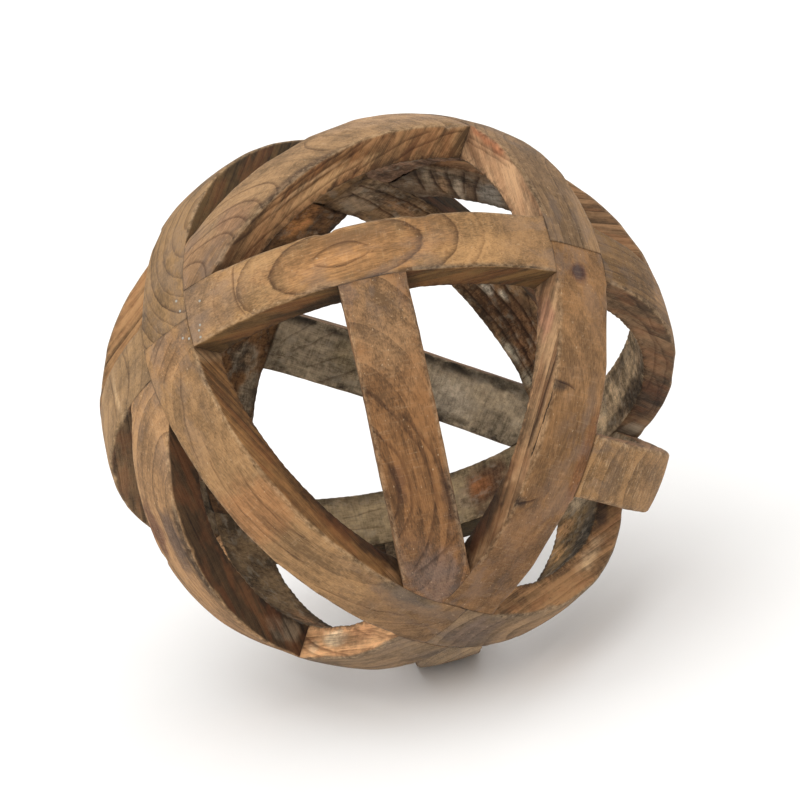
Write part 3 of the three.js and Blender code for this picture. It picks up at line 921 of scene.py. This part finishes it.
            ("inner", 67, 7, 12, -42, 0, 0.5), ("inner", 48, -3, 12, -30, -0.5, 0.4),
        ],
        "stains": [
            ("inner", -40, 12, 30, 3, "#2a241c", 0.8), ("inner", 34, 4, 12, 12, "#897755", 0.5),
            ("inner", -22, -2, 12, 11, "#b8ab98", 0.4),
        ],
    },
}


def setAttribute(mesh, name, kind, field, values):
    layer = mesh.attributes.new(name, kind, "POINT")
    layer.data.foreach_set(field, np.ascontiguousarray(values, np.float32).ravel())


sharpest = math.radians(38)  # the angle between faces past which an edge is left sharp


def makeBar(name, look):
    board = boards[name]
    material = makeTeak(name, look)
    shape = sawEnds(arcBlank(board, material), board)
    sawn = np.array([v.co for v in shape.verts])
    worn, facts = wearDown(sawn, board, look)
    rings, grain = growthRings(sawn, board, facts, look)
    placed = toRow(worn)
    placed[:, 2] = np.maximum(placed[:, 2], 0)  # nothing stands below the flat spot it lies on
    for vertex, place in zip(shape.verts, placed):
        vertex.co = place
    shape.normal_update()
    for polygon in shape.faces:
        polygon.smooth = len(polygon.verts) <= 4
    for edge in shape.edges:
        edge.smooth = edge.calc_face_angle(0) < sharpest
    mesh = bpy.data.meshes.new(name + "_worn")
    shape.to_mesh(mesh)
    normals = np.array([v.normal for v in shape.verts]) @ ballToRow
    shape.free()
    outwards = (unit(normals) * unit(worn)).sum(axis=1)
    outer = smoothStep(0.3, 0.8, outwards)
    inner = smoothStep(0.3, 0.8, -outwards)
    for key, values in (
        ("face", np.stack([outer, 1 - outer - inner, inner], axis=1)),
        ("place", np.stack([facts["arc"], facts["across"], np.linalg.norm(sawn, axis=1)], axis=1)),
        ("grain", grain), ("crack", facts["crack"]),
        ("flow", np.stack([rings, grain[:, 0], grain[:, 1]], axis=1)),
    ):
        setAttribute(mesh, key, "FLOAT_VECTOR", "vector", values)
    for key in ("near", "arris"):
        setAttribute(mesh, key, "FLOAT", "value", facts[key])
    setAttribute(mesh, "mark", "FLOAT_COLOR", "color", facts["mark"])
    setAttribute(mesh, "stain", "FLOAT_COLOR", "color", stainPoints(sawn, facts, look))
    mesh.materials.append(material)
    piece = bpy.data.objects.new(name + "_worn", mesh)
    bpy.context.scene.collection.objects.link(piece)
    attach(piece, "root")
    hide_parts(name)
    return piece


blankTree = makeBlankTree()
bradPoints, bradWays = [], []
for seed, (name, own) in enumerate(bars.items(), 1):
    look = {**plain, "seed": seed, **own}
    look["contrast"] = {**plain["contrast"], **look["contrast"]}
    piece = makeBar(name, look)
    places = np.array([v.co for v in piece.data.vertices])
    for arc, across in look["brads"]:
        turn, over = np.array([arc / radius]), np.array([float(across)])
        ideal = toRow(onBoard(boards[name], turn, np.sqrt(radius ** 2 - over ** 2), over))[0]
        bradPoints.append(places[np.argmin(((places - ideal) ** 2).sum(axis=1))])
        bradWays.append(ideal - centre * millimetre)
    print("bar", name, len(piece.data.polygons), "faces")

# Brads: small bright steel heads, filed nearly flush with the wood
brad = {
    "head": 1.25,  # mm across
    "proud": 0.12,  # how far it stands out of the wood
    "sides": 12,
    "steel": "#b9b4a8",
    "dull": "#938f85",
    "metallic": 0.85,
    "roughness": 0.45,
    "crown": 0.36,  # the radius of its flat top, as a share of the head
}


def makeBradTree():
    tree = bpy.data.node_groups.new("bradHeads", "GeometryNodeTree")
    for name, kind in (
        ("Points", "NodeSocketGeometry"), ("Head", "NodeSocketFloat"), ("Thick", "NodeSocketFloat"),
        ("Sides", "NodeSocketInt"), ("Steel", "NodeSocketMaterial"),
    ):
        tree.interface.new_socket(name, in_out="INPUT", socket_type=kind)
    tree.interface.new_socket("Brads", in_out="OUTPUT", socket_type="NodeSocketGeometry")
    given = addNode(tree, "NodeGroupInput").outputs
    rim = addNode(tree, "ShaderNodeMath", {"operation": "MULTIPLY"}, {0: given["Head"], 1: 0.5})
    crown = addNode(
        tree, "ShaderNodeMath", {"operation": "MULTIPLY"}, {0: given["Head"], 1: brad["crown"]})
    head = addNode(tree, "GeometryNodeMeshCone", None, {
        "Vertices": given["Sides"], "Radius Top": crown, "Radius Bottom": rim,
        "Depth": given["Thick"]})
    facing = addNode(
        tree, "GeometryNodeInputNamedAttribute", {"data_type": "FLOAT_VECTOR"}, {"Name": "facing"})
    turned = addNode(
        tree, "FunctionNodeAlignRotationToVector", {"axis": "Z"}, {"Vector": facing})
    heads = addNode(tree, "GeometryNodeInstanceOnPoints", None, {
        "Points": given["Points"], "Instance": head, "Rotation": turned})
    realized = addNode(tree, "GeometryNodeRealizeInstances", None, {0: heads})
    steel = addNode(
        tree, "GeometryNodeSetMaterial", None, {"Geometry": realized, "Material": given["Steel"]})
    addNode(tree, "NodeGroupOutput", None, {"Brads": steel})
    return tree


# Cut steel wire, dulled by handling: a grey metal with faint darker patches
def makeSteel():
    material = bpy.data.materials.new("dulledSteel")
    material.use_nodes = True
    tree = material.node_tree
    tree.nodes.clear()
    where = addNode(tree, "ShaderNodeTexCoord")
    patches = addNode(tree, "ShaderNodeTexNoise", None, {
        "Vector": where.outputs["Object"], "Scale": 1 / (0.8 * millimetre), "Detail": 2.0})
    colour = addNode(tree, "ShaderNodeMix", {"data_type": "RGBA"}, {
        0: patches, 6: linear(brad["dull"]), 7: linear(brad["steel"])})
    surface = addNode(tree, "ShaderNodeBsdfPrincipled", None, {
        "Base Color": colour.outputs[2], "Metallic": brad["metallic"],
        "Roughness": brad["roughness"]})
    addNode(tree, "ShaderNodeOutputMaterial", None, {0: surface})
    return material


bradMesh = bpy.data.meshes.new("brads")
bradMesh.from_pydata([tuple(p) for p in bradPoints], [], [])
setAttribute(bradMesh, "facing", "FLOAT_VECTOR", "vector", unit(np.array(bradWays)))
brads = bpy.data.objects.new("brads", runTree(makeBradTree(), bradMesh, {
    "Head": brad["head"] * millimetre, "Thick": 2 * brad["proud"] * millimetre,
    "Sides": brad["sides"], "Steel": makeSteel()}))
bpy.context.scene.collection.objects.link(brads)
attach(brads, "root")
print("brads", len(bradPoints))

# Floor, light and camera
studio = {
    "floor": "#f4f3f1",
    "floorReach": 9.0,  # m to each side
    "sky": 1.12,
    "keyPower": 48.0,  # W
    "keyPlace": (-1.0, -1.6, 2.5),  # m, in front, to the left and above
    "keySize": 4.0,  # m, so that shadows are soft
}
camera = {
    "distance": 2.25,  # m from the ball's centre
    "elevation": 19.28,  # degrees
    "roll": 12.3,
    "lens": 229.8,  # mm
    "shift": (0.0135, -0.010),
}

floorMesh = bpy.data.meshes.new("floor")
reach = studio["floorReach"]
floorMesh.from_pydata(
    [(-reach, -reach, 0), (reach, -reach, 0), (reach, reach, 0), (-reach, reach, 0)], [],
    [(0, 1, 2, 3)])
floor = bpy.data.objects.new("floor", floorMesh)
bpy.context.scene.collection.objects.link(floor)
paper = bpy.data.materials.new("mattPaper")
paper.use_nodes = True
sheet = paper.node_tree.nodes["Principled BSDF"]
sheet.inputs["Base Color"].default_value = linear(studio["floor"])
sheet.inputs["Roughness"].default_value = 0.9
floorMesh.materials.append(paper)

world = bpy.data.worlds.new("studio")
bpy.context.scene.world = world
world.use_nodes = True
sky = world.node_tree.nodes["Background"]
sky.inputs["Color"].default_value = (1, 1, 1, 1)
sky.inputs["Strength"].default_value = studio["sky"]

keyLight = bpy.data.lights.new("key", "AREA")
keyLight.energy = studio["keyPower"]
keyLight.size = studio["keySize"]
key = bpy.data.objects.new("key", keyLight)
key.location = studio["keyPlace"]
key.rotation_euler = (
    Vector((0, 0, centre[2] * millimetre)) - key.location).to_track_quat("-Z", "Y").to_euler()
bpy.context.scene.collection.objects.link(key)

elevation, roll = math.radians(camera["elevation"]), math.radians(camera["roll"])
back = Vector((0, -math.cos(elevation), math.sin(elevation)))
level = Vector((0, math.sin(elevation), math.cos(elevation)))
right = Vector((1, 0, 0)) * math.cos(roll) - level * math.sin(roll)
up = Vector((1, 0, 0)) * math.sin(roll) + level * math.cos(roll)
lens = bpy.data.cameras.new("camera")
lens.lens = camera["lens"]
lens.sensor_width = 36
lens.shift_x, lens.shift_y = camera["shift"]
lens.clip_end = 100
eye = bpy.data.objects.new("camera", lens)
placement = Matrix((right, up, back)).transposed().to_4x4()
placement.translation = Vector((0, 0, centre[2] * millimetre)) + back * camera["distance"]
eye.matrix_world = placement
bpy.context.scene.collection.objects.link(eye)
bpy.context.scene.camera = eye
bpy.context.scene.view_settings.view_transform = "Standard"
print("floor, light and camera")
